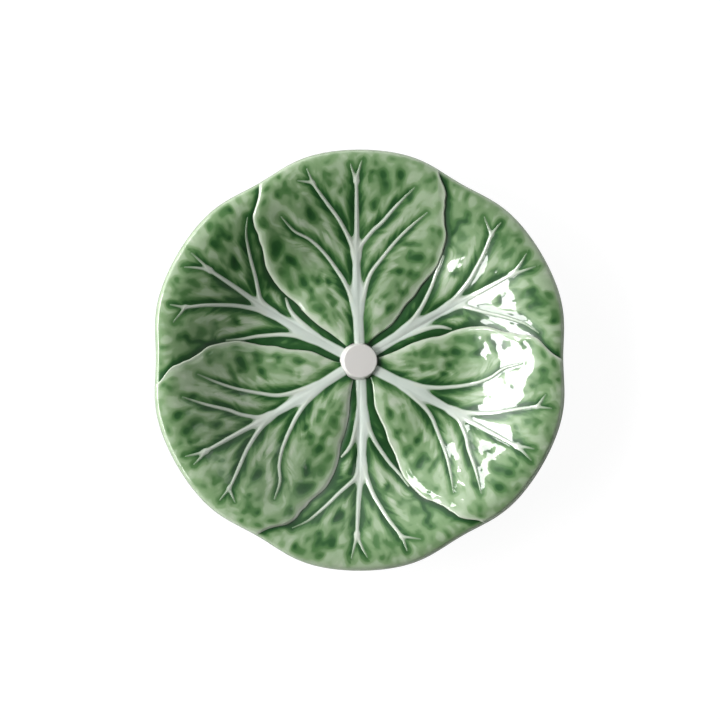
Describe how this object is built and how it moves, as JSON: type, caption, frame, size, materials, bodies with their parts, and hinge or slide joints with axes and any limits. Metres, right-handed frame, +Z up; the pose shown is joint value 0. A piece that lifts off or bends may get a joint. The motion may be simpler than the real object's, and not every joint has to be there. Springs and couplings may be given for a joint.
{
  "type": "bread and butter plate",
  "caption": "Round plate with a softly lobed rim, modelled as lapped cabbage leaves with pale raised ribs round a flat stalk button, on a plain foot ring.",
  "frame": {"origin": "on the table, under the middle of the foot ring", "axes": "+Z up out of the plate's eating side; +Y along the midrib of one over leaf; +X to its right"},
  "size_m": [0.1601, 0.165, 0.0242],
  "materials": {
    "leaf_glaze": "thick glossy green glaze, dark where it pools and pale on the high spots",
    "rib_glaze": "glossy white glaze with a faint blue-green cast",
    "button_glaze": "glossy warm white glaze",
    "dish_glaze": "glossy green glaze",
    "bare_clay": "matt unglazed clay where the plate stands"
  },
  "bodies": {
    "root": {"plate_body": "dish_glaze", "foot_ring": "bare_clay", "centre_button": "button_glaze", "over_leaf_back": "leaf_glaze", "over_leaf_front_left": "leaf_glaze", "over_leaf_front_right": "leaf_glaze", "under_leaf_back_left": "leaf_glaze", "under_leaf_front": "leaf_glaze", "under_leaf_back_right": "leaf_glaze", "ribs_back": "rib_glaze", "ribs_front_left": "rib_glaze", "ribs_front_right": "rib_glaze", "ribs_back_left": "rib_glaze", "ribs_front": "rib_glaze", "ribs_back_right": "rib_glaze"}
  },
  "joints": []
}
